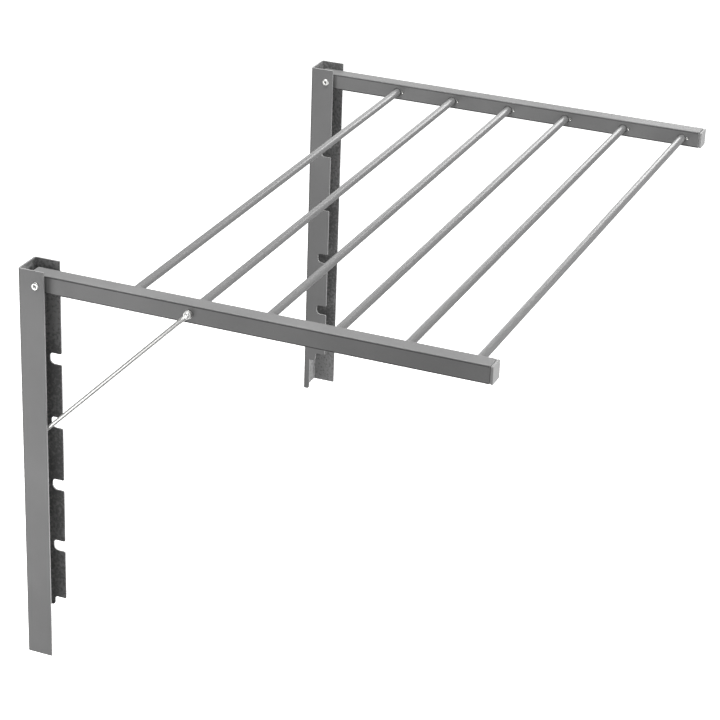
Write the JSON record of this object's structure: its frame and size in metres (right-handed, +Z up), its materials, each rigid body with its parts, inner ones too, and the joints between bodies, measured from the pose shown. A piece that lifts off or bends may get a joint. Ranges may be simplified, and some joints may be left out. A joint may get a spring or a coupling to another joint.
{
  "type": "wall mounted fold down drying rack",
  "caption": "Wall mounted laundry drying rack: a grey tube frame with drying rods that folds down into notched wall channels, held up by a wire strut.",
  "frame": {"origin": "on the wall plane, midway between the two brackets and level with their tops", "axes": "+X along the drying rods, to the right for someone facing the wall; +Y into the wall; +Z up"},
  "size_m": [0.8636, 0.565, 0.5],
  "materials": {
    "grey_powder_coat": "satin",
    "light_grey_coat": "satin",
    "grey_plastic": "matte",
    "dark_nylon": "matte",
    "bright_zinc": "polished"
  },
  "bodies": {
    "wall_brackets": {"left_bracket": "grey_powder_coat", "right_bracket": "grey_powder_coat", "left_hinge_rivet": "bright_zinc", "right_hinge_rivet": "bright_zinc", "left_hinge_spacer_outer": "dark_nylon", "left_hinge_spacer_inner": "dark_nylon", "right_hinge_spacer_outer": "dark_nylon", "right_hinge_spacer_inner": "dark_nylon"},
    "frame": {"left_arm": "grey_powder_coat", "right_arm": "grey_powder_coat", "left_arm_cap": "grey_plastic", "right_arm_cap": "grey_plastic", "rod_1": "light_grey_coat", "rod_2": "light_grey_coat", "rod_3": "light_grey_coat", "rod_4": "light_grey_coat", "rod_5": "light_grey_coat", "rod_6": "light_grey_coat", "rod_bush_left_1": "dark_nylon", "rod_bush_left_2": "dark_nylon", "rod_bush_left_3": "dark_nylon", "rod_bush_left_4": "dark_nylon", "rod_bush_left_5": "dark_nylon", "rod_bush_left_6": "dark_nylon", "rod_bush_right_1": "dark_nylon", "rod_bush_right_2": "dark_nylon", "rod_bush_right_3": "dark_nylon", "rod_bush_right_4": "dark_nylon", "rod_bush_right_5": "dark_nylon", "rod_bush_right_6": "dark_nylon", "strut_rivet": "bright_zinc", "strut_washer": "bright_zinc"},
    "strut": {"support_strut": "bright_zinc"}
  },
  "joints": [
    {"name": "frame_fold", "type": "hinge", "parent": "wall_brackets", "child": "frame", "pos_m": [0, -0.022, -0.0185], "axis": [1, 0, 0], "range_deg": [0, 89]},
    {"name": "strut_swing", "type": "hinge", "parent": "frame", "child": "strut", "pos_m": [-0.4246, -0.21, -0.0185], "axis": [1, 0, 0], "range_deg": [-131.7, 0]}
  ],
  "couplings": [
    {"joint": "strut_swing", "follows": "frame_fold", "ratio": -1.4793}
  ]
}
